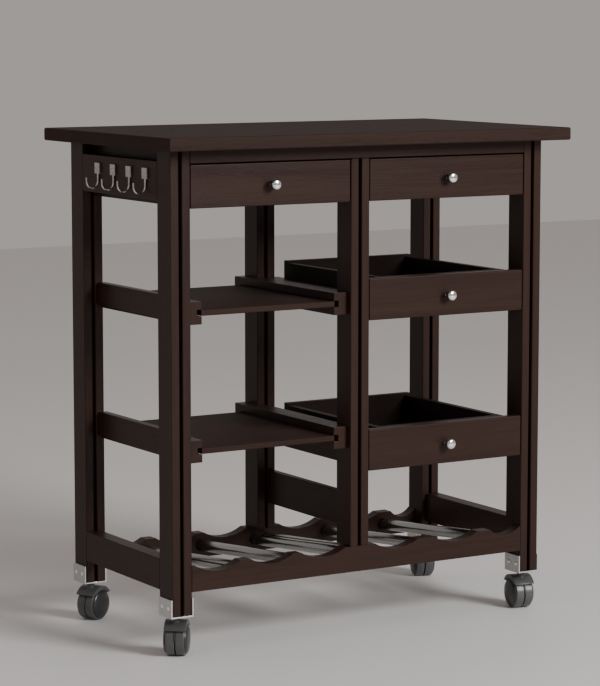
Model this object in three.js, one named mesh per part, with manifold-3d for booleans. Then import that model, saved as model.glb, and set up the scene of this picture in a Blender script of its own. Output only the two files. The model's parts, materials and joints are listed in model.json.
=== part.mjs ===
// A wooden bar cart on four twin-wheel casters: six grooved posts carry one tabletop over two
// bays. The left bay holds a drawer over two pull-out shelves, the right bay holds three open
// drawers, and a scalloped rack with metal tubes along the bottom holds six bottles.
// Millimetres: X runs along the cart, Y from its front to its back, and Z up from the floor.
// The origin is on the floor under the middle of the tabletop.
import * as THREE from "three";
import { mergeVertices } from "three/addons/utils/BufferGeometryUtils.js";
import Module from "manifold-3d";

const wasm = await Module();
wasm.setup();

// ---------------------------------------------------------------- driving dimensions
const HEIGHT = 870;
const TOP_WIDTH = 800;
const TOP_DEPTH = 464;
const TOP_THICK = 22;
const FRAME_WIDTH = 746;             // over the outer faces of the corner posts
const FRAME_DEPTH = 364;
const GAP = 0.3;                     // left between two pieces that touch
const EDGE = 1;                      // chamfer on the timber's edges

const POST_WIDTH = 37;
const POST_DEPTH = 46;
const POST_LATH = 15.5;              // each lath on either side of a post's groove
const POST_GROOVE_DEPTH = 10;
const POST_FOOT = 72;                // lower ends of the corner posts
const MIDDLE_X = -6;                 // the middle posts stand a little left of centre

const RAIL_THICK = 22;
const TOP_RAIL_TALL = 23;
const SIDE_RAIL_THICK = 28;
const SIDE_RAIL_SPAN = [111, 164];   // lower and upper edge
const HOOK_RAIL_SPAN = [763.5, 828.5];
const MIDDLE_RAIL_SPAN = [180, 240];

const BOTTLE_RAIL_TALL = 44.3;
const FRONT_RACK_FOOT = 111;
const REAR_RACK_FOOT = 88.3;         // the rear rail sits lower, so the bottles' necks dip
const DIP_DEPTH = 12.3;
const LEFT_DIPS = [[-286, 44], [-181.5, 41], [-79, 44]];   // middle and half width
const FRONT_DIPS = [...LEFT_DIPS, [71.7, 43.7], [195, 48], [301.5, 32]];
const REAR_DIPS = [...LEFT_DIPS, [80, 44], [207, 48], [308, 27]];
const TUBE_RADIUS = 10;
const TUBES = { left: [-240, -129, -16.5], right: [8, 136, 263] };
const FRONT_TUBE_Z = 141.7;
const REAR_TUBE_Z = 109;
const TUBE_END_Y = 167;
const TIE_WIRE_RADIUS = 3;

const RUNNER_WIDE = 27;
const RUNNER_TALL = 38;
const RUNNER_GROOVE_TALL = 11;
const RUNNER_GROOVE_DEPTH = 9;
const RUNNER_BACK = 171;
const GROOVE_END = 151;              // what slides in the groove stops here
const TONGUE_REACH = 9.5;            // how far a runner reaches back between its two posts
const TOP_TONGUE_REACH = 15.5;
const TOP_TONGUE_SPAN = [755, 847.7];

const SHELF_LEVELS = [577, 345.5];
const SHELF_TONGUES = [[564, 603], [332, 375]];
const SHELF_THICK = 10;
const SHELF_FRONT = -171;
const SHELF_NOTCH = [7.5, 12];       // taken off each front corner, across and back
const SLIDER_BACK = 150;

const DRAWER_FEET = [751, 546, 284.5];
const DRAWER_TALL = 72;
const FRONT_THICK = 16;
const FRONT_FACE = -181;
const DRAWER_SIDE_GAP = 1.5;
const FOOT_TO_GROOVE = 25.5;
const BOX_WALL = 12;
const BOX_FLOOR = 6;
const BOX_RAISE = 4;
const BACK_WALL_RISE = 4;            // the box's back wall stands above its sides

const KNOB_RADIUS = 9.3;
const KNOB_NECK = 4;
const KNOB_LONG = 20;

const HOOK_Y = [-98.5, -41, 16.5, 74];
const HOOK_PLATE = [18, 3.6, 18.5];  // width, thickness and height
const HOOK_PLATE_FOOT = 797;
const HOOK_WIRE = 1.7;
const HOOK_BEND = 10.7;
const HOOK_BEND_Z = 783.6;
const HOOK_TIP_Z = 791;

const BRACKET_THICK = 2.5;
const BRACKET_WIDE = 44;
const BRACKET_PROUD = 0.2;           // how far its outer edge stands past the post
const BRACKET_TOP = 101;

const WHEEL_RADIUS = 27.5;
const WHEEL_INNER = 1;               // from the caster's middle to each tread's inner face
const RECESS_RADIUS = 21.5;          // each wheel's inner face is hollowed for the hub disc
const RECESS_INNER = 3.2;
const TREAD_OUTER = 15.8;
const DOME_RADIUS = 24.8;
const DOME_OUTER = 22.3;
const AXLE_RADIUS = 3;
const TRAIL = 8;                     // from the swivel's axis back to the axle
const HOOD_TOP = 61;
const HOOD_RADIUS = 30.5;
const HOOD_ROOM = 28.2;              // radius of the hollow that the treads turn in
const HOOD_ROOM_HALF = 16.6;
const HOOD_EYE = 25.4;               // radius of the hood's side holes round the domes
const HOOD_SKIRT = 46.3;             // height of the hood's lower edge
const HOOD_HALF_WIDTH = 18.6;
const HUB_DISC = [20.5, 2.5];        // radius and half thickness
const WEB_HALF = 0.6;
const NECK_RADIUS = 7;
const STEM_RADIUS = 4;
const STEM_TOP = 100;
const SWIVEL_DEGREES = { front_left: -37, rear_left: -62, front_right: -11, rear_right: -21 };

// ---------------------------------------------------------------- colours
const paint = (color, roughness, metalness = 0) =>
  new THREE.MeshStandardMaterial({ color, roughness, metalness });
const darkWood = paint(0x3b2d29, 0.5);
const innerWood = paint(0x332723, 0.6);
const chrome = paint(0xd9dadc, 0.15, 1);
const bareSteel = paint(0xb9b9b6, 0.35, 1);
const greySteel = paint(0x8b8c8b, 0.4, 1);
const plastic = paint(0x454646, 0.35);

// ---------------------------------------------------------------- shape helpers
const cart = new THREE.Group();

function place(name, geometry, material) {
  const mesh = new THREE.Mesh(geometry, material);
  mesh.name = name;
  cart.add(mesh);
}

const ordered = (a, b) => [Math.min(a, b), Math.max(a, b)];
const outlineOf = (points) => new THREE.Shape(points.map(([a, b]) => new THREE.Vector2(a, b)));

function block(x, y, z) {
  const geometry = new THREE.BoxGeometry(x[1] - x[0], y[1] - y[0], z[1] - z[0]);
  return geometry.translate((x[0] + x[1]) / 2, (y[0] + y[1]) / 2, (z[0] + z[1]) / 2);
}

// A block with a small chamfer along its edges.
function board(x, y, z, edge = EDGE) {
  const outline = outlineOf([
    [x[0] + edge, y[0] + edge], [x[1] - edge, y[0] + edge],
    [x[1] - edge, y[1] - edge], [x[0] + edge, y[1] - edge],
  ]);
  return new THREE.ExtrudeGeometry(outline, {
    depth: z[1] - z[0] - 2 * edge, bevelSize: edge, bevelThickness: edge, bevelSegments: 1,
  }).translate(0, 0, z[0] + edge);
}

// An outline in X and Z, given its thickness along Y.
function alongY(outline, y, curveSegments = 8) {
  return new THREE.ExtrudeGeometry(outline, {
    depth: y[1] - y[0], bevelEnabled: false, curveSegments,
  }).rotateX(Math.PI / 2).translate(0, y[1], 0);
}

function rod(from, to, radius, sides) {
  const along = new THREE.Vector3().subVectors(to, from);
  const turn = new THREE.Quaternion()
    .setFromUnitVectors(new THREE.Vector3(0, 1, 0), along.clone().normalize());
  const middle = new THREE.Vector3().addVectors(from, to).multiplyScalar(0.5);
  return new THREE.CylinderGeometry(radius, radius, along.length(), sides)
    .applyQuaternion(turn).translate(middle.x, middle.y, middle.z);
}

function solid(geometry) {
  const bare = geometry.clone();
  bare.deleteAttribute("normal");
  bare.deleteAttribute("uv");
  const merged = mergeVertices(bare, 1e-4);
  return new wasm.Manifold(new wasm.Mesh({
    numProp: 3,
    vertProperties: new Float32Array(merged.attributes.position.array),
    triVerts: new Uint32Array(merged.index.array),
  }));
}

function surface(body) {
  const mesh = body.getMesh();
  const geometry = new THREE.BufferGeometry();
  const positions = new Float32Array(mesh.vertProperties);
  geometry.setAttribute("position", new THREE.BufferAttribute(positions, 3));
  geometry.setIndex(new THREE.BufferAttribute(new Uint32Array(mesh.triVerts), 1));
  const faceted = geometry.toNonIndexed();
  faceted.computeVertexNormals();
  return faceted;
}

const join = (first, ...more) => more.reduce((sum, next) => sum.add(solid(next)), solid(first));
const cut = (from, ...tools) => tools.reduce((rest, tool) => rest.subtract(solid(tool)), from);

// ---------------------------------------------------------------- places worked out once
const underTop = HEIGHT - TOP_THICK;
const halfWidth = FRAME_WIDTH / 2;
const halfDepth = FRAME_DEPTH / 2;
const postX = { left: POST_WIDTH / 2 - halfWidth, right: halfWidth - POST_WIDTH / 2 };
const postY = { front: POST_DEPTH / 2 - halfDepth, rear: halfDepth - POST_DEPTH / 2 };
const leftFace = POST_WIDTH - halfWidth;
const rightFace = halfWidth - POST_WIDTH;
const middleLeftFace = MIDDLE_X - POST_WIDTH / 2;
const middleRightFace = MIDDLE_X + POST_WIDTH / 2;
const betweenPostsX = [leftFace + GAP, rightFace - GAP];
const betweenPostsY = [POST_DEPTH - halfDepth + GAP, halfDepth - POST_DEPTH - GAP];
const railY = { front: [-halfDepth, RAIL_THICK - halfDepth], rear: [halfDepth - RAIL_THICK, halfDepth] };
const rackFoot = { front: FRONT_RACK_FOOT, rear: REAR_RACK_FOOT };
const bracketPlate = [POST_FOOT - GAP - BRACKET_THICK, POST_FOOT - GAP];

// ---------------------------------------------------------------- tabletop
place("tabletop", board([-TOP_WIDTH / 2, TOP_WIDTH / 2], [-TOP_DEPTH / 2, TOP_DEPTH / 2],
  [underTop, HEIGHT], 1.5), darkWood);

// ---------------------------------------------------------------- posts
// In plan a post is two laths about a recessed core, so a groove runs up its front and back.
function post(x, y, z) {
  const half = POST_WIDTH / 2;
  const groove = half - POST_LATH;
  const deep = POST_DEPTH / 2;
  const floor = deep - POST_GROOVE_DEPTH;
  const quarter = [[half, deep - EDGE], [half - EDGE, deep], [groove + EDGE, deep],
    [groove, deep - EDGE], [groove, floor]];
  const mirror = (sx, sy) => quarter.map(([px, py]) => [x + sx * px, y + sy * py]);
  const outline = outlineOf([...mirror(1, 1), ...mirror(-1, 1).reverse(),
    ...mirror(-1, -1), ...mirror(1, -1).reverse()]);
  return new THREE.ExtrudeGeometry(outline, { depth: z[1] - z[0], bevelEnabled: false })
    .translate(0, 0, z[0]);
}

for (const [row, y] of Object.entries(postY)) {
  for (const [side, x] of Object.entries(postX)) {
    const stemBore = rod(new THREE.Vector3(x, y, POST_FOOT - 5),
      new THREE.Vector3(x, y, STEM_TOP + 2), STEM_RADIUS + 0.5, 16);
    const whole = solid(post(x, y, [POST_FOOT, underTop - GAP]));
    place(`${row}_${side}_post`, surface(cut(whole, stemBore)), darkWood);
  }
  place(`${row}_middle_post`, post(MIDDLE_X, y,
    [rackFoot[row] + BOTTLE_RAIL_TALL + GAP, underTop - TOP_RAIL_TALL - GAP]), darkWood);
}

// ---------------------------------------------------------------- rails
for (const [row, y] of Object.entries(railY)) {
  place(`${row}_top_rail`,
    board(betweenPostsX, y, [underTop - TOP_RAIL_TALL, underTop - GAP]), darkWood);
}
place("left_bottom_rail",
  board([-halfWidth, SIDE_RAIL_THICK - halfWidth], betweenPostsY, SIDE_RAIL_SPAN), darkWood);
place("right_bottom_rail",
  board([halfWidth - SIDE_RAIL_THICK, halfWidth], betweenPostsY, SIDE_RAIL_SPAN), darkWood);
place("hook_rail",
  board([-halfWidth, POST_LATH - halfWidth], betweenPostsY, HOOK_RAIL_SPAN), darkWood);
place("middle_lower_rail",
  board([middleRightFace - POST_LATH, middleRightFace], betweenPostsY, MIDDLE_RAIL_SPAN),
  innerWood);

// ---------------------------------------------------------------- bottle rack
// The upper edge of each bottle rail dips in a shallow arc for each bottle, and blind holes in
// its inner face take the tubes' ends. The lower rail is notched at its ends for the brackets.
function tubeLine(x, extra) {
  const front = new THREE.Vector3(x, -TUBE_END_Y, FRONT_TUBE_Z);
  const rear = new THREE.Vector3(x, TUBE_END_Y, REAR_TUBE_Z);
  const beyond = new THREE.Vector3().subVectors(rear, front).setLength(extra);
  return [front.sub(beyond), rear.add(beyond)];
}

function bottleRail(y, foot, dips) {
  const crest = foot + BOTTLE_RAIL_TALL;
  const outline = new THREE.Shape();
  outline.moveTo(betweenPostsX[0], foot);
  outline.lineTo(betweenPostsX[1], foot);
  outline.lineTo(betweenPostsX[1], crest);
  for (const [x, half] of dips.slice().reverse()) {
    const radius = (half ** 2 + DIP_DEPTH ** 2) / (2 * DIP_DEPTH);
    const sweep = Math.asin(half / radius);
    outline.absarc(x, crest + radius - DIP_DEPTH, radius,
      sweep - Math.PI / 2, -sweep - Math.PI / 2, true);
  }
  outline.lineTo(betweenPostsX[0], crest);
  const holes = [...TUBES.left, ...TUBES.right]
    .map((x) => rod(...tubeLine(x, 1), TUBE_RADIUS + 0.35, 28));
  const notches = [-1, 1].map((side) => block(ordered(side * (rightFace - 3.5), side * halfWidth),
    [y[0] - 5, y[1] + 5], [0, BRACKET_TOP + 0.5]));
  return surface(cut(solid(alongY(outline, y, 10)), ...holes, ...notches));
}

place("front_bottle_rail", bottleRail(railY.front, FRONT_RACK_FOOT, FRONT_DIPS), darkWood);
place("rear_bottle_rail", bottleRail(railY.rear, REAR_RACK_FOOT, REAR_DIPS), darkWood);

// The three tubes of a bay are welded to one tie wire close behind the front rail.
for (const [bay, row] of Object.entries(TUBES)) {
  const wireEnds = [row[0] - 3, row[2] + 3]
    .map((x) => new THREE.Vector3(x, railY.front[1] + 5, FRONT_TUBE_Z - 6));
  const tubes = row.map((x) => rod(...tubeLine(x, 0), TUBE_RADIUS, 28));
  place(`bottle_rods_${bay}`,
    surface(join(rod(...wireEnds, TIE_WIRE_RADIUS, 10), ...tubes)), greySteel);
}

// ---------------------------------------------------------------- runners
// A runner is a grooved batten on the inner faces of two posts, with a tongue between them.
// face is the X of those posts' inner faces, and into (1 or -1) points into the bay.
function runnerBlocks(face, into, grooveZ, front, tongue, reach = TONGUE_REACH) {
  const z = [grooveZ - RUNNER_TALL / 2, grooveZ + RUNNER_TALL / 2];
  return [
    block(ordered(face + into * GAP, face + into * RUNNER_WIDE), [front, RUNNER_BACK], z),
    block(ordered(face - into * reach, face + into * 5), betweenPostsY, tongue || z),
  ];
}

function runnerGroove(face, into, grooveZ, front) {
  const mouth = face + into * RUNNER_WIDE;
  return block(ordered(mouth - into * RUNNER_GROOVE_DEPTH, mouth + into * 5),
    [front - 5, GROOVE_END],
    [grooveZ - RUNNER_GROOVE_TALL / 2, grooveZ + RUNNER_GROOVE_TALL / 2]);
}

function runner(face, into, grooveZ, front, tongue, reach) {
  const blocks = runnerBlocks(face, into, grooveZ, front, tongue, reach);
  return surface(cut(join(...blocks), runnerGroove(face, into, grooveZ, front)));
}

const runnerFront = FRONT_FACE + FRONT_THICK + 1;
const levelNames = ["top", "middle", "lower"];
["upper", "lower"].forEach((level, i) => {
  const z = SHELF_LEVELS[i];
  place(`${level}_shelf_runner_left`,
    runner(leftFace, 1, z, SHELF_FRONT, SHELF_TONGUES[i]), innerWood);
  place(`${level}_shelf_runner_right`, runner(middleLeftFace, -1, z, SHELF_FRONT), innerWood);
});

levelNames.slice(1).forEach((level, i) => {
  const z = DRAWER_FEET[i + 1] + FOOT_TO_GROOVE;
  place(`${level}_drawer_runner_left`, runner(middleRightFace, 1, z, runnerFront), innerWood);
  place(`${level}_drawer_runner_right`, runner(rightFace, -1, z, runnerFront), innerWood);
});

// The topmost side runners carry a tall tongue that closes the gap under the tabletop, and the
// one through the middle frame is grooved on both faces.
const topGrooveZ = DRAWER_FEET[0] + FOOT_TO_GROOVE;
place("top_drawer_runner_left", runner(leftFace, 1, topGrooveZ, runnerFront,
  TOP_TONGUE_SPAN, TOP_TONGUE_REACH), innerWood);
place("top_drawer_runner_right", runner(rightFace, -1, topGrooveZ, runnerFront,
  TOP_TONGUE_SPAN, TOP_TONGUE_REACH), innerWood);
place("top_drawer_runner_middle", surface(cut(
  join(...runnerBlocks(middleLeftFace, -1, topGrooveZ, runnerFront, null, POST_WIDTH / 2 + 1),
    ...runnerBlocks(middleRightFace, 1, topGrooveZ, runnerFront, null, POST_WIDTH / 2 + 1)),
  runnerGroove(middleLeftFace, -1, topGrooveZ, runnerFront),
  runnerGroove(middleRightFace, 1, topGrooveZ, runnerFront))), innerWood);

// ---------------------------------------------------------------- pull-out shelves
// A shelf's front corners are notched, so the ends of the runners' grooves stay open.
const grooveReach = RUNNER_WIDE - RUNNER_GROOVE_DEPTH + 0.5;
const shelfX = [leftFace + grooveReach, middleLeftFace - grooveReach];
const notchY = [SHELF_FRONT - 5, SHELF_FRONT + SHELF_NOTCH[1]];
["upper_shelf", "lower_shelf"].forEach((name, i) => {
  const z = [SHELF_LEVELS[i] - SHELF_THICK / 2, SHELF_LEVELS[i] + SHELF_THICK / 2];
  const above = [z[0] - 5, z[1] + 5];
  place(name, surface(cut(solid(board(shelfX, [SHELF_FRONT, SLIDER_BACK], z)),
    block([shelfX[0] - 5, shelfX[0] + SHELF_NOTCH[0]], notchY, above),
    block([shelfX[1] - SHELF_NOTCH[0], shelfX[1] + 5], notchY, above))), darkWood);
});

// ---------------------------------------------------------------- drawers
// Behind its front board a drawer is an open box with a rib along each side that rides in the
// runners' grooves.
function drawerBox(bay, foot) {
  const x = [bay[0] + RUNNER_WIDE + 0.7, bay[1] - RUNNER_WIDE - 0.7];
  const y = [FRONT_FACE + FRONT_THICK + GAP, SLIDER_BACK];
  const z = [foot + BOX_RAISE, foot + DRAWER_TALL];
  const grooveZ = foot + FOOT_TO_GROOVE;
  const ribs = block([bay[0] + grooveReach, bay[1] - grooveReach], [y[0] + 1, y[1]],
    [grooveZ - SHELF_THICK / 2, grooveZ + SHELF_THICK / 2]);
  const hollow = block([x[0] + BOX_WALL, x[1] - BOX_WALL], [y[0] + BOX_WALL, y[1] - BOX_WALL],
    [z[0] + BOX_FLOOR, z[1] + 5]);
  const backWall = block(x, [y[1] - BOX_WALL, y[1]], [z[0], z[1] + BACK_WALL_RISE]);
  return surface(cut(join(block(x, y, z), backWall, ribs), hollow));
}

function knob(x, z) {
  const profile = [[0, 0], [5.5, 0], [5.5, 1.5], [KNOB_NECK, 3], [KNOB_NECK, 8], [6, 10],
    [KNOB_RADIUS - 0.8, 11.6], [KNOB_RADIUS, 13], [KNOB_RADIUS, 15.5], [KNOB_RADIUS - 0.9, 17.6],
    [KNOB_RADIUS - 3, 19.2], [0, KNOB_LONG]];
  return new THREE.LatheGeometry(profile.map(([r, out]) => new THREE.Vector2(r, out)), 20)
    .rotateX(Math.PI).translate(x, FRONT_FACE - GAP, z);
}

function drawer(name, bay, foot) {
  place(`${name}_front`, board([bay[0] + DRAWER_SIDE_GAP, bay[1] - DRAWER_SIDE_GAP],
    [FRONT_FACE, FRONT_FACE + FRONT_THICK], [foot, foot + DRAWER_TALL]), darkWood);
  place(`${name}_box`, drawerBox(bay, foot), innerWood);
  place(`${name}_knob`, knob((bay[0] + bay[1]) / 2, foot + DRAWER_TALL / 2), chrome);
}

drawer("left_drawer", [leftFace, middleLeftFace], DRAWER_FEET[0]);
levelNames.forEach((level, i) => {
  drawer(`right_${level}_drawer`, [middleRightFace, rightFace], DRAWER_FEET[i]);
});

// ---------------------------------------------------------------- hooks
// A hook is a small plate on the hook rail, with a wire that drops and turns up outside it.
function hook(y) {
  const back = -halfWidth - GAP;
  const plate = block([back - HOOK_PLATE[1], back],
    [y - HOOK_PLATE[0] / 2, y + HOOK_PLATE[0] / 2],
    [HOOK_PLATE_FOOT, HOOK_PLATE_FOOT + HOOK_PLATE[2]]);
  const wallX = back - HOOK_PLATE[1] / 2;
  const bendX = wallX - HOOK_BEND;
  const points = [[wallX, HOOK_PLATE_FOOT + 5], [wallX, HOOK_PLATE_FOOT - 2], [wallX, 789]];
  for (let i = 0; i <= 6; i += 1) {
    const angle = -Math.PI * i / 6;
    points.push([bendX + HOOK_BEND * Math.cos(angle), HOOK_BEND_Z + HOOK_BEND * Math.sin(angle)]);
  }
  points.push([bendX - HOOK_BEND, HOOK_TIP_Z]);
  const path = new THREE.CatmullRomCurve3(points.map(([x, z]) => new THREE.Vector3(x, y, z)));
  const round = new THREE.Shape().absarc(0, 0, HOOK_WIRE, 0, 2 * Math.PI, false);
  const wire = new THREE.ExtrudeGeometry(round, {
    extrudePath: path, steps: 28, curveSegments: 5, bevelEnabled: false,
  });
  return surface(join(plate, wire));
}

HOOK_Y.forEach((y, i) => place(`hook_${i + 1}`, hook(y), chrome));

// ---------------------------------------------------------------- brackets and casters
// A bracket is a steel channel that grips the foot of a post from both sides.
// Its outer edge is level with the post's outer face.
function bracket(x, y) {
  const inner = POST_WIDTH / 2 + GAP;
  const outerY = Math.sign(y) * (halfDepth + BRACKET_PROUD);
  const outer = inner + BRACKET_THICK;
  const channel = alongY(outlineOf([
    [x - outer, bracketPlate[0]], [x + outer, bracketPlate[0]], [x + outer, BRACKET_TOP],
    [x + inner, BRACKET_TOP], [x + inner, bracketPlate[1]], [x - inner, bracketPlate[1]],
    [x - inner, BRACKET_TOP], [x - outer, BRACKET_TOP],
  ]), ordered(outerY, outerY - Math.sign(y) * BRACKET_WIDE));
  const bore = rod(new THREE.Vector3(x, y, bracketPlate[0] - 5),
    new THREE.Vector3(x, y, bracketPlate[1] + 5), STEM_RADIUS + 0.5, 16);
  return surface(cut(solid(channel), bore));
}

// A caster is drawn about its swivel axis with the axle along X, and is then swung round.
const axleLine = (half) => [new THREE.Vector3(-half, TRAIL, WHEEL_RADIUS),
  new THREE.Vector3(half, TRAIL, WHEEL_RADIUS)];

function casterHood() {
  const [low, high] = axleLine(HOOD_HALF_WIDTH);
  const rise = HOOD_TOP - HOOD_RADIUS - WHEEL_RADIUS;
  const drum = rod(low.setZ(WHEEL_RADIUS + rise), high.setZ(WHEEL_RADIUS + rise), HOOD_RADIUS, 44);
  const neckTop = bracketPlate[0] - GAP;
  const neck = rod(new THREE.Vector3(0, 0, 54), new THREE.Vector3(0, 0, neckTop), NECK_RADIUS, 20);
  const stem = rod(new THREE.Vector3(0, 0, neckTop - 2), new THREE.Vector3(0, 0, STEM_TOP),
    STEM_RADIUS, 16);
  const room = rod(...axleLine(HOOD_ROOM_HALF), HOOD_ROOM, 48);
  const eyes = rod(...axleLine(HOOD_HALF_WIDTH + 10), HOOD_EYE, 48);
  const belowSkirt = block([-40, 40], [-40, 60], [-10, HOOD_SKIRT]);
  const shield = cut(join(drum, neck, stem), room, eyes, belowSkirt);
  const webDisc = rod(...axleLine(WEB_HALF), HOOD_ROOM + 0.8, 40);
  const hub = rod(...axleLine(HUB_DISC[1]), HUB_DISC[0], 32);
  const upperHalf = block([-40, 40], [-40, 60], [WHEEL_RADIUS + 2, 100]);
  const web = solid(webDisc).intersect(solid(upperHalf)).add(solid(hub));
  return surface(cut(shield.add(web), rod(...axleLine(10), AXLE_RADIUS + 0.4, 16)));
}

function casterWheels() {
  const half = [[AXLE_RADIUS, RECESS_INNER], [RECESS_RADIUS, RECESS_INNER],
    [RECESS_RADIUS, WHEEL_INNER], [WHEEL_RADIUS - 0.8, WHEEL_INNER],
    [WHEEL_RADIUS, WHEEL_INNER + 0.8], [WHEEL_RADIUS, TREAD_OUTER - 1.2],
    [WHEEL_RADIUS - 0.8, TREAD_OUTER], [DOME_RADIUS + 0.2, TREAD_OUTER],
    [DOME_RADIUS, TREAD_OUTER + 0.6], [24, 17.9], [21.5, 19.7], [17, 21],
    [10, 22], [0, DOME_OUTER]];
  const mirrored = half.map(([r, out]) => [r, -out]).reverse();
  const profile = [...mirrored, ...half].map(([r, out]) => new THREE.Vector2(r, out));
  return new THREE.LatheGeometry(profile, 36).rotateZ(-Math.PI / 2)
    .translate(0, TRAIL, WHEEL_RADIUS);
}

for (const [row, y] of Object.entries(postY)) {
  for (const [side, x] of Object.entries(postX)) {
    const corner = `${row}_${side}`;
    const turn = THREE.MathUtils.degToRad(SWIVEL_DEGREES[corner]);
    place(`${corner}_bracket`, bracket(x, y), bareSteel);
    place(`${corner}_caster_hood`, casterHood().rotateZ(turn).translate(x, y, 0), plastic);
    place(`${corner}_caster_wheels`, casterWheels().rotateZ(turn).translate(x, y, 0), plastic);
  }
}

export default cart;
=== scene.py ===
import json
import math
import bpy
import bmesh
import numpy as np
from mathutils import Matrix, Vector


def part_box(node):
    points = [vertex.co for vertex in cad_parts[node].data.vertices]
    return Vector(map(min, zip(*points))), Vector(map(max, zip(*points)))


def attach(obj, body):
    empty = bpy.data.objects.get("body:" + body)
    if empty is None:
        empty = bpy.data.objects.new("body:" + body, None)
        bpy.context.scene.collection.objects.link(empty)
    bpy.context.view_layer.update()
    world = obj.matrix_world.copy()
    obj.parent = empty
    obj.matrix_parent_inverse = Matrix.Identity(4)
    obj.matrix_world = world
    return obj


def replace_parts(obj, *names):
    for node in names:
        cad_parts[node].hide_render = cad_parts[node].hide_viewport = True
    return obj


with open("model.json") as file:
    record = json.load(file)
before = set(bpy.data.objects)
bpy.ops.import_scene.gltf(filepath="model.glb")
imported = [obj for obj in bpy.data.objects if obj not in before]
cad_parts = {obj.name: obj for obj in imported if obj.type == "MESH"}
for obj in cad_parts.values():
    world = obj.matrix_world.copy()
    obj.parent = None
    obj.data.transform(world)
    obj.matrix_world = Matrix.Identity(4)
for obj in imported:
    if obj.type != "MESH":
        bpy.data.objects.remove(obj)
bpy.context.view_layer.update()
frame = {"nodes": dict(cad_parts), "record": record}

nodes = frame["nodes"]


# ---- The studio -------------------------------------------------------------------------
# A plain pale floor, one large soft lamp high in front and to the right, a much weaker one on
# the left, and a camera a little above the cart, off its left front corner.
def quad_grid(rows, columns, rows_close=False, columns_close=False):
    """Four-sided faces over a grid of points: each joins a point to the next along its row, the
    one above that, and the one above itself. A closed direction also joins its last to its
    first."""
    i = np.arange(rows if rows_close else rows - 1)[:, None]
    j = np.arange(columns if columns_close else columns - 1)[None, :]
    up, on = (i + 1) % rows, (j + 1) % columns
    return np.stack([i * columns + j, i * columns + on, up * columns + on, up * columns + j],
                    -1).reshape(-1, 4)


def build(name, surfaces, materials, sharp=35):
    """A mesh object from surfaces, each (points, faces, material number). Points that meet are
    merged, which closes poles and seams, and the faces are turned outwards."""
    points, faces, kinds, start = [], [], [], 0
    for surface_points, surface_faces, kind in surfaces:
        surface_points = np.asarray(surface_points, float).reshape(-1, 3)
        points.append(surface_points)
        faces.append(surface_faces + start)
        kinds.append(np.full(len(surface_faces), kind))
        start += len(surface_points)
    mesh = bpy.data.meshes.new(name)
    mesh.from_pydata(np.concatenate(points).tolist(), [], np.concatenate(faces).tolist())
    mesh.polygons.foreach_set("material_index", np.concatenate(kinds).astype(np.int32))
    for material in materials:
        mesh.materials.append(material)
    shaped = bmesh.new()
    shaped.from_mesh(mesh)
    bmesh.ops.remove_doubles(shaped, verts=shaped.verts, dist=2e-6)
    bmesh.ops.recalc_face_normals(shaped, faces=shaped.faces)
    shaped.to_mesh(mesh)
    shaped.free()
    mesh.polygons.foreach_set("use_smooth", np.ones(len(mesh.polygons), bool))
    mesh.set_sharp_from_angle(angle=math.radians(sharp))
    piece = bpy.data.objects.new(name, mesh)
    bpy.context.scene.collection.objects.link(piece)
    return piece


def plain_finish(name, colour, roughness, specular=0.5):
    """A material with its Principled shader, colour, roughness and surface shine set."""
    material = bpy.data.materials.new(name)
    material.use_nodes = True
    shader = material.node_tree.nodes["Principled BSDF"]
    shader.inputs["Base Color"].default_value = (*colour, 1)
    shader.inputs["Roughness"].default_value = roughness
    shader.inputs["Specular IOR Level"].default_value = specular
    return material, material.node_tree, shader


FLOOR_HALF_SIDE = 7
floor_x, floor_y = np.meshgrid((-FLOOR_HALF_SIDE, FLOOR_HALF_SIDE),
                               (-FLOOR_HALF_SIDE, FLOOR_HALF_SIDE))
floor_finish, _, _ = plain_finish("pale_floor", (0.76, 0.745, 0.73), 0.55)
floor = build("floor", [(np.stack([floor_x, floor_y, floor_x * 0], -1), quad_grid(2, 2), 0)],
              [floor_finish])

world = bpy.data.worlds.new("studio")
bpy.context.scene.world = world
world.use_nodes = True
world.node_tree.nodes["Background"].inputs["Color"].default_value = (0.86, 0.79, 0.76, 1)
world.node_tree.nodes["Background"].inputs["Strength"].default_value = 0.46


def soft_lamp(name, place, aim, size, power):
    """A round area lamp at a place, turned so that it shines at its aim."""
    lamp = bpy.data.lights.new(name, "AREA")
    lamp.shape, lamp.size, lamp.energy = "DISK", size, power
    holder = bpy.data.objects.new(name, lamp)
    holder.location = place
    way = np.array(aim) - np.array(place)
    holder.rotation_euler = (math.atan2(math.hypot(way[0], way[1]), -way[2]), 0,
                             math.atan2(way[1], way[0]) - math.pi / 2)
    bpy.context.scene.collection.objects.link(holder)


soft_lamp("key_lamp", (1.5, -3.9, 2.4), (0, 0, 0.4), 1.8, 205)
soft_lamp("side_lamp", (-3.4, -0.6, 1.9), (0, 0, 0.5), 1.6, 3)

camera = bpy.data.objects.new("camera", bpy.data.cameras.new("camera"))
camera.location = (-2.431, -4.003, 1.073)
camera.rotation_euler = (math.radians(82.89), 0, math.radians(-31.10))
camera.data.lens = 139.75
camera.data.sensor_width = 36
bpy.context.scene.collection.objects.link(camera)
bpy.context.scene.camera = camera


# ---- Stained timber ---------------------------------------------------------------------
# The whole frame is a light hardwood stained a deep espresso brown and sprayed with a satin
# lacquer. The fibres run along each piece, and every piece is cut from a different plank.
def noise_on(tree, coordinates, scale, detail=2.0, roughness=0.5, distortion=0.0):
    """The value of a fractal noise at the given coordinates."""
    noise = tree.nodes.new("ShaderNodeTexNoise")
    for socket, number in (("Scale", scale), ("Detail", detail), ("Roughness", roughness),
                           ("Distortion", distortion)):
        noise.inputs[socket].default_value = number
    tree.links.new(coordinates, noise.inputs["Vector"])
    return noise.outputs["Fac"]


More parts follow.
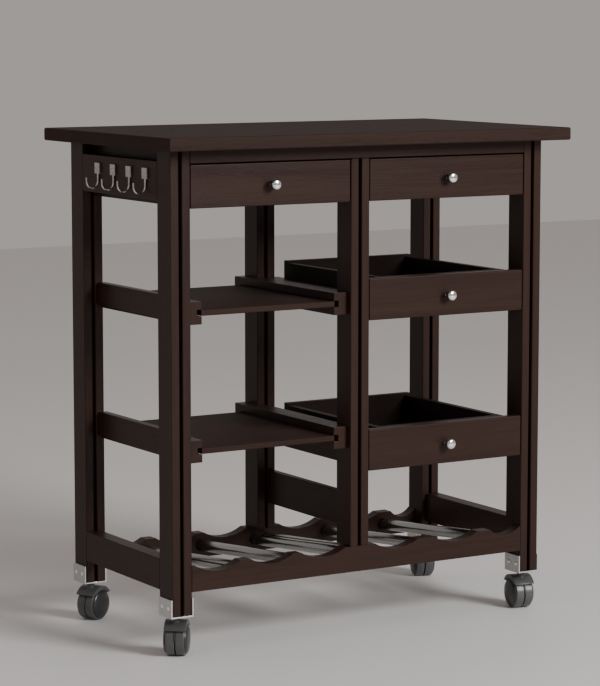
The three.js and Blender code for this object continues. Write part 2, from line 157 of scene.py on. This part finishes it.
def spread(tree, value, low, high, to_low=0.0, to_high=1.0):
    """A value carried from one range to another in a straight line, and held at its ends."""
    ramp = tree.nodes.new("ShaderNodeMapRange")
    for socket, number in (("From Min", low), ("From Max", high), ("To Min", to_low),
                           ("To Max", to_high)):
        ramp.inputs[socket].default_value = number
    tree.links.new(value, ramp.inputs["Value"])
    return ramp.outputs["Result"]


def mixed_colour(tree, share, first, second):
    """Two colours mixed by a share. The first is fixed or comes from another node."""
    mix = tree.nodes.new("ShaderNodeMix")
    mix.data_type = "RGBA"
    if isinstance(first, bpy.types.NodeSocket):
        tree.links.new(first, mix.inputs["A"])
    else:
        mix.inputs["A"].default_value = (*first, 1)
    mix.inputs["B"].default_value = (*second, 1)
    tree.links.new(share, mix.inputs["Factor"])
    return mix.outputs["Result"]


def dent(tree, shader, height, strength, depth):
    """The shader's surface dented by a height."""
    relief = tree.nodes.new("ShaderNodeBump")
    relief.inputs["Strength"].default_value = strength
    relief.inputs["Distance"].default_value = depth
    tree.links.new(height, relief.inputs["Height"])
    tree.links.new(relief.outputs["Normal"], shader.inputs["Normal"])


def stained_timber(name, along, dark, light, satin=0.36, stave=0):
    """Streaks stretched along one axis: broad bands of tone, fine fibres and short open pores
    mix two browns, lift the roughness a little and dent the surface. With a stave width, every
    strip of that width across Y is shifted along its length and has its own tone."""
    material, tree, shader = plain_finish(name, light, satin, 0.14)
    add, link = tree.nodes.new, tree.links.new

    def moved(where, chance, reach):
        step = add("ShaderNodeVectorMath")
        step.operation = "MULTIPLY_ADD"
        step.inputs[1].default_value = reach
        link(chance, step.inputs[0])
        link(where, step.inputs[2])
        return step.outputs["Vector"]

    def worked_out(how, first, second=None):
        node = add("ShaderNodeMath")
        node.operation = how
        link(first, node.inputs[0])
        if isinstance(second, float):
            node.inputs[1].default_value = second
        elif second is not None:
            link(second, node.inputs[1])
        return node.outputs["Value"]

    def streaks(across, lengthwise, detail, distortion):
        stretch = add("ShaderNodeMapping")
        stretch.inputs["Scale"].default_value = [
            lengthwise if axis == along else across for axis in "XYZ"]
        link(grain, stretch.inputs["Vector"])
        return noise_on(tree, stretch.outputs["Vector"], 1, detail, 0.6, distortion)

    place = add("ShaderNodeTexCoord").outputs["Object"]
    plank = add("ShaderNodeObjectInfo").outputs["Random"]
    grain = moved(place, plank, (3.1, 5.7, 4.3))
    if stave:
        apart = add("ShaderNodeSeparateXYZ")
        link(place, apart.inputs["Vector"])
        stave_number = worked_out("FLOOR", worked_out("DIVIDE", apart.outputs["Y"], stave))
        chance = add("ShaderNodeTexWhiteNoise")
        chance.noise_dimensions = "1D"
        link(stave_number, chance.inputs["W"])
        grain = moved(grain, chance.outputs["Color"], (2.3, 0, 1.7))
    bands = spread(tree, streaks(30, 1.4, 3, 0.6), 0.30, 0.70, 0.15, 0.55)
    fibres = spread(tree, streaks(420, 7, 4, 0.3), 0.32, 0.68, 0, 0.28)
    pores = spread(tree, streaks(900, 28, 1, 0), 0.60, 0.68)
    tone = worked_out("ADD", bands, fibres)
    if stave:
        stave_tone = spread(tree, chance.outputs["Value"], 0, 1, -0.16, 0.16)
        tone = worked_out("ADD", tone, stave_tone)
    stain = mixed_colour(tree, tone, dark, light)
    pored = mixed_colour(tree, spread(tree, pores, 0, 1, 0, 0.35), stain, 0.45 * np.array(dark))
    link(pored, shader.inputs["Base Color"])
    rubbed = spread(tree, worked_out("ADD", tone, pores), 0, 2, satin - 0.05, satin + 0.16)
    link(rubbed, shader.inputs["Roughness"])
    dent(tree, shader, worked_out("SUBTRACT", fibres, pores), 0.22, 0.0003)
    return material


espresso_dark, espresso_light = (0.0165, 0.0076, 0.0054), (0.0400, 0.0195, 0.0140)
timber = {axis: stained_timber(f"espresso_timber_along_{axis.lower()}", axis, espresso_dark,
                               espresso_light) for axis in "XYZ"}


def ease_edges(node, material, radius, segments=2):
    """The node gets its finish and softly rounded edges: its flat triangles are joined into
    whole faces first, so that the rounding follows real edges only."""
    made = nodes[node]
    made.data.materials.clear()
    made.data.materials.append(material)
    weld = made.modifiers.new("join", "WELD")
    weld.merge_threshold = 2e-6
    flat = made.modifiers.new("whole_faces", "DECIMATE")
    flat.decimate_type, flat.angle_limit = "DISSOLVE", math.radians(1)
    round_over = made.modifiers.new("eased_edges", "BEVEL")
    round_over.width, round_over.segments = radius, segments
    round_over.limit_method, round_over.angle_limit = "ANGLE", math.radians(28)
    round_over.use_clamp_overlap = True


# ---- Tabletop ---------------------------------------------------------------------------
# One board glued up from staves about 66 mm wide, with its arrises just broken. It is screwed
# down from below through the top rails, so no fixings show.
MATT = 0.66
STAVE_WIDTH = 0.066
top_timber = stained_timber("espresso_timber_of_the_top", "X", espresso_dark, espresso_light,
                            MATT, STAVE_WIDTH)
ease_edges("tabletop", top_timber, 0.0010, 3)

# ---- Posts ------------------------------------------------------------------------------
# Six posts, each two laths glued about a recessed core, so a groove runs up its front and
# back. The corner ones stand on the casters, the middle ones on the bottle rails.
FRAME_EDGE = 0.0006
for node in nodes:
    if node.endswith("_post"):
        ease_edges(node, timber["Z"], FRAME_EDGE)

# ---- Rails ------------------------------------------------------------------------------
# Solid rails dowelled between the posts: two under the top, two low ones sawn with shallow
# dips for the bottles, one along the foot of each side, and the wide one for the hooks.
for node in ("front_top_rail", "rear_top_rail", "front_bottle_rail", "rear_bottle_rail"):
    ease_edges(node, timber["X"], FRAME_EDGE)
for node in ("left_bottom_rail", "right_bottom_rail", "hook_rail", "middle_lower_rail"):
    ease_edges(node, timber["Y"], FRAME_EDGE)

# ---- Runners ----------------------------------------------------------------------------
# Battens screwed to the inner faces of the posts, each ploughed with a groove that a shelf's
# edge or a drawer's rib slides in. They are stained like the frame.
for node in nodes:
    if "_runner_" in node:
        ease_edges(node, timber["Y"], FRAME_EDGE)

# ---- Shelves ----------------------------------------------------------------------------
# Two thin boards that pull out of the left bay on their own edges. Their front corners are
# notched, which leaves the ends of the grooves open.
shelf_timber = stained_timber("espresso_timber_of_the_shelves", "X", espresso_dark,
                              espresso_light, MATT)
for node in ("upper_shelf", "lower_shelf"):
    ease_edges(node, shelf_timber, FRAME_EDGE)

# ---- Drawers ----------------------------------------------------------------------------
# Four shallow drawers: a lacquered front board screwed to an open box of thinner boards, which
# rides on a rib along each of its sides.
box_timber = stained_timber("inner_timber_along_x", "X", (0.0080, 0.0036, 0.0025),
                            (0.0200, 0.0092, 0.0066), 0.5)
for node in nodes:
    if node.endswith("_drawer_front"):
        ease_edges(node, timber["X"], 0.0008, 3)
    if node.endswith("_drawer_box"):
        ease_edges(node, box_timber, 0.0005)


# ---- Knobs ------------------------------------------------------------------------------
# A turned brass mushroom knob, chrome plated: a flared foot on the drawer front, a slim neck
# and a thick disc with a softly crowned face. The foot, the neck and the underside of the disc
# are coloured a darker chrome. This is a painted dark reflection of the drawer front and its
# shade.
def bright_metal(name, colour, roughness, grain):
    """Bare or plated metal whose roughness wanders a little, with fine scratches in it."""
    material, tree, shader = plain_finish(name, colour, roughness)
    shader.inputs["Metallic"].default_value = 1
    place = tree.nodes.new("ShaderNodeTexCoord").outputs["Object"]
    scratches = noise_on(tree, place, grain, 5)
    tree.links.new(spread(tree, scratches, 0.3, 0.7, roughness * 0.7, roughness * 1.5),
                   shader.inputs["Roughness"])
    dent(tree, shader, scratches, 0.08, 0.0001)
    return material


def turned(profile, start, way, sides):
    """A profile of (radius, distance along) carried round an axis: each point stands at its
    radius, in every direction square to the axis, at its distance from the start."""
    profile = np.asarray(profile, float)
    way = np.asarray(way, float) / np.linalg.norm(way)
    side = np.cross(way, (0, 0, 1) if abs(way[2]) < 0.9 else (1, 0, 0))
    side /= np.linalg.norm(side)
    other = np.cross(way, side)
    angle = np.arange(sides) * 2 * math.pi / sides
    ring = np.cos(angle)[:, None] * side + np.sin(angle)[:, None] * other
    points = (np.asarray(start, float) + profile[:, 1, None, None] * way
              + profile[:, 0, None, None] * ring)
    return points, quad_grid(len(profile), sides, columns_close=True)


chrome = bright_metal("chrome_plate", (0.80, 0.80, 0.81), 0.13, 900)
# The darker chrome is a painted dark reflection and shade, not a different plating.
neck_chrome_painted_dark_reflection = bright_metal("chrome_plate_of_the_neck_painted_dark_reflection", (0.22, 0.21, 0.21), 0.2, 900)
NECK_END = 0.0115                    # distance from the drawer front where the disc begins
knob_profile = np.array([
    (0, 0), (5.2, 0), (5.5, 0.3), (5.5, 1.2), (5.1, 1.9), (4.4, 2.9), (4.05, 4.2), (4, 6.5),
    (4, 7.6), (4.3, 8.8), (5.1, 10), (6.6, 11.1), (8.1, 11.9), (8.9, 12.7), (9.25, 13.8),
    (9.3, 15), (9.15, 16.2), (8.6, 17.4), (7.7, 18.3), (6.4, 19), (4.6, 19.55), (2.4, 19.9),
    (0, 20)]) / 1000
KNOB_SIDES = 64
# Rows nearer the drawer front than NECK_END take the darker chrome with the painted dark
# reflection.
neck_rows_with_painted_dark_reflection = np.repeat((knob_profile[1:, 1] < NECK_END).astype(int), KNOB_SIDES)
for drawer in ("left_drawer", "right_top_drawer", "right_middle_drawer", "right_lower_drawer"):
    low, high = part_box(f"{drawer}_knob")
    foot = ((low.x + high.x) / 2, high.y, (low.z + high.z) / 2)
    points, faces = turned(knob_profile, foot, (0, -1, 0), KNOB_SIDES)
    knob = build(f"{drawer}_turned_knob", [(points, faces, neck_rows_with_painted_dark_reflection)],
                 [chrome, neck_chrome_painted_dark_reflection], 60)
    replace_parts(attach(knob, drawer), f"{drawer}_knob")


# ---- Bottle rack tubes ------------------------------------------------------------------
# Six steel tubes, three to a bay, that fall a little towards the back. Their ends are let into
# the bottle rails, and a thin wire welded across each three keeps them from turning.
def smooth_shading(angle):
    """A node group that shades smoothly over every edge flatter than the angle, and breaks the
    shading at the others."""
    group = bpy.data.node_groups.new("smooth_shading", "GeometryNodeTree")
    for way in ("INPUT", "OUTPUT"):
        group.interface.new_socket("Geometry", in_out=way, socket_type="NodeSocketGeometry")
    add, link = group.nodes.new, group.links.new
    enter, leave = add("NodeGroupInput"), add("NodeGroupOutput")
    faces, edges = add("GeometryNodeSetShadeSmooth"), add("GeometryNodeSetShadeSmooth")
    faces.domain, edges.domain = "FACE", "EDGE"
    bend = add("GeometryNodeInputMeshEdgeAngle")
    flat = add("FunctionNodeCompare")
    flat.data_type, flat.operation = "FLOAT", "LESS_THAN"
    flat.inputs["B"].default_value = math.radians(angle)
    link(enter.outputs["Geometry"], faces.inputs["Geometry"])
    link(faces.outputs["Geometry"], edges.inputs["Geometry"])
    link(bend.outputs["Unsigned Angle"], flat.inputs["A"])
    link(flat.outputs["Result"], edges.inputs["Shade Smooth"])
    link(edges.outputs["Geometry"], leave.inputs["Geometry"])
    return group


smooth_rounds = smooth_shading(32)


def ease_round_piece(node, material, radius, segments=2):
    """The node gets its finish and softened edges, and its round stretches are shaded smooth."""
    ease_edges(node, material, radius, segments)
    nodes[node].modifiers.new("smooth_shading", "NODES").node_group = smooth_rounds


tube_steel = bright_metal("grey_tube", (0.38, 0.38, 0.375), 0.19, 700)
for node in ("bottle_rods_left", "bottle_rods_right"):
    ease_round_piece(node, tube_steel, 0.0004)

# ---- Hooks ------------------------------------------------------------------------------
# Four chromed hooks for cloths and ladles: a small square plate with its corner edges eased,
# and a round wire let into it that drops and turns up again outside.
hook_chrome = bright_metal("hook_chrome", (0.50, 0.49, 0.49), 0.24, 900)
HOOK_COUNT = 4
for number in range(1, HOOK_COUNT + 1):
    ease_round_piece(f"hook_{number}", hook_chrome, 0.0006, 3)


# ---- Hook screws ------------------------------------------------------------------------
# Two small round-headed screws, chromed like the hooks, hold each plate to the rail. They
# stand side by side at mid height.
SCREW_SINK = 0.00005                 # a head's foot lies this far inside what it holds


def screw_head(radius, height, start, way):
    """A round head: a quarter circle turned about the screw's own line, squashed to its height,
    with a short straight rim at its foot."""
    rise = np.linspace(0, math.pi / 2, 7)
    dome = np.stack([radius * np.cos(rise), height * (0.25 + 0.75 * np.sin(rise))], -1)
    return (*turned(np.concatenate([[(0, 0), (radius, 0)], dome]), start, way, 24), 0)


HOOK_PLATE_THICK = 0.0036
HOOK_SCREW_Z = 0.8065
for number in range(1, HOOK_COUNT + 1):
    low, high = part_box(f"hook_{number}")
    plate_face, plate_y = high.x - HOOK_PLATE_THICK + SCREW_SINK, (low.y + high.y) / 2
    starts = [(plate_face, plate_y + aside, HOOK_SCREW_Z) for aside in (-0.0056, 0.0056)]
    heads = build(f"hook_{number}_screws",
                  [screw_head(0.0019, 0.0009, start, (-1, 0, 0)) for start in starts],
                  [hook_chrome], 50)
    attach(heads, "frame")

# ---- Foot brackets ----------------------------------------------------------------------
# A channel of zinc-plated sheet steel is pushed up over the foot of each corner post. Two
# pan-headed screws through each flange hold it, and the caster's stem passes through its floor.
zinc = bright_metal("zinc_plate", (0.58, 0.58, 0.565), 0.32, 500)
zinc_screw = bright_metal("bright_screw", (0.92, 0.92, 0.91), 0.14, 900)
BRACKET_SCREW_Z = 0.086
corners = ("front_left", "front_right", "rear_left", "rear_right")
for corner in corners:
    ease_edges(f"{corner}_bracket", zinc, 0.0005, 3)
    low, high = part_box(f"{corner}_bracket")
    middle_y = (low.y + high.y) / 2
    flanges = ((low.x + SCREW_SINK, -1), (high.x - SCREW_SINK, 1))
    heads = build(f"{corner}_bracket_screws",
                  [screw_head(0.0036, 0.0016, (face, middle_y + aside, BRACKET_SCREW_Z),
                              (way, 0, 0))
                   for face, way in flanges for aside in (-0.011, 0.011)], [zinc_screw], 50)
    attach(heads, "frame")


# ---- Caster hoods -----------------------------------------------------------------------
# A moulded nylon hood over each pair of wheels, in one piece with the web between them. Its
# steel stem turns in the foot of the post, so the whole caster swings round.
def moulded_plastic(name, colour, roughness):
    """Moulded nylon: a fine spark-eroded texture dents it a little and breaks up its shine, and
    slow mottling shifts its tone."""
    material, tree, shader = plain_finish(name, colour, roughness)
    place = tree.nodes.new("ShaderNodeTexCoord").outputs["Object"]
    texture = noise_on(tree, place, 2200, 2)
    mottling = noise_on(tree, place, 60, 2)
    tone = mixed_colour(tree, mottling, np.array(colour) * 0.86, np.array(colour) * 1.14)
    tree.links.new(tone, shader.inputs["Base Color"])
    tree.links.new(spread(tree, texture, 0.3, 0.7, roughness * 0.8, roughness * 1.3),
                   shader.inputs["Roughness"])
    dent(tree, shader, texture, 0.12, 0.0001)
    return material


hood_plastic = moulded_plastic("grey_hood_nylon", (0.052, 0.053, 0.053), 0.28)
for corner in corners:
    ease_round_piece(f"{corner}_caster_hood", hood_plastic, 0.0004)

# ---- Caster wheels ----------------------------------------------------------------------
# Twin wheels on one steel axle: grey nylon treads either side of a narrow gap, each with a
# darker domed cap pressed into its outer face, just below the tread.
tread_plastic = moulded_plastic("grey_tread_nylon", (0.070, 0.071, 0.072), 0.32)
cap_plastic = moulded_plastic("dark_cap_nylon", (0.022, 0.022, 0.024), 0.28)
wheel_half = np.array([
    (3, 3.2), (21.5, 3.2), (21.5, 1.3), (21.8, 1), (26.5, 1), (27.1, 1.2), (27.4, 1.6),
    (27.5, 2.2), (27.5, 14.4), (27.4, 15), (27.1, 15.5), (26.5, 15.8), (25.2, 15.8),
    (24.95, 15.85), (24.8, 16.1), (24.7, 16.8), (24.2, 17.7), (23.2, 18.7), (21.6, 19.6),
    (19.2, 20.4), (16, 21.1), (12, 21.7), (7, 22.15), (3, 22.28), (0, 22.3)]) / 1000
wheel_profile = np.concatenate([(wheel_half * (1, -1))[::-1], wheel_half])
CAP_ROWS = 12                        # rows at either end of the profile that a cap takes up
WHEEL_SIDES = 72
tread_or_cap = np.zeros(len(wheel_profile) - 1, int)
tread_or_cap[:CAP_ROWS] = 1
tread_or_cap[-CAP_ROWS:] = 1
for joint in frame["record"]["behaviour"]["joints"]:
    if joint["name"].endswith("_roll"):
        corner = joint["name"][:-len("_roll")]
        points, faces = turned(wheel_profile, joint["pos_m"], joint["axis"], WHEEL_SIDES)
        wheels = build(f"{corner}_twin_wheels",
                       [(points, faces, np.repeat(tread_or_cap, WHEEL_SIDES))],
                       [tread_plastic, cap_plastic], 40)
        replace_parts(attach(wheels, f"{corner}_wheels"),
                    f"{corner}_caster_wheels")
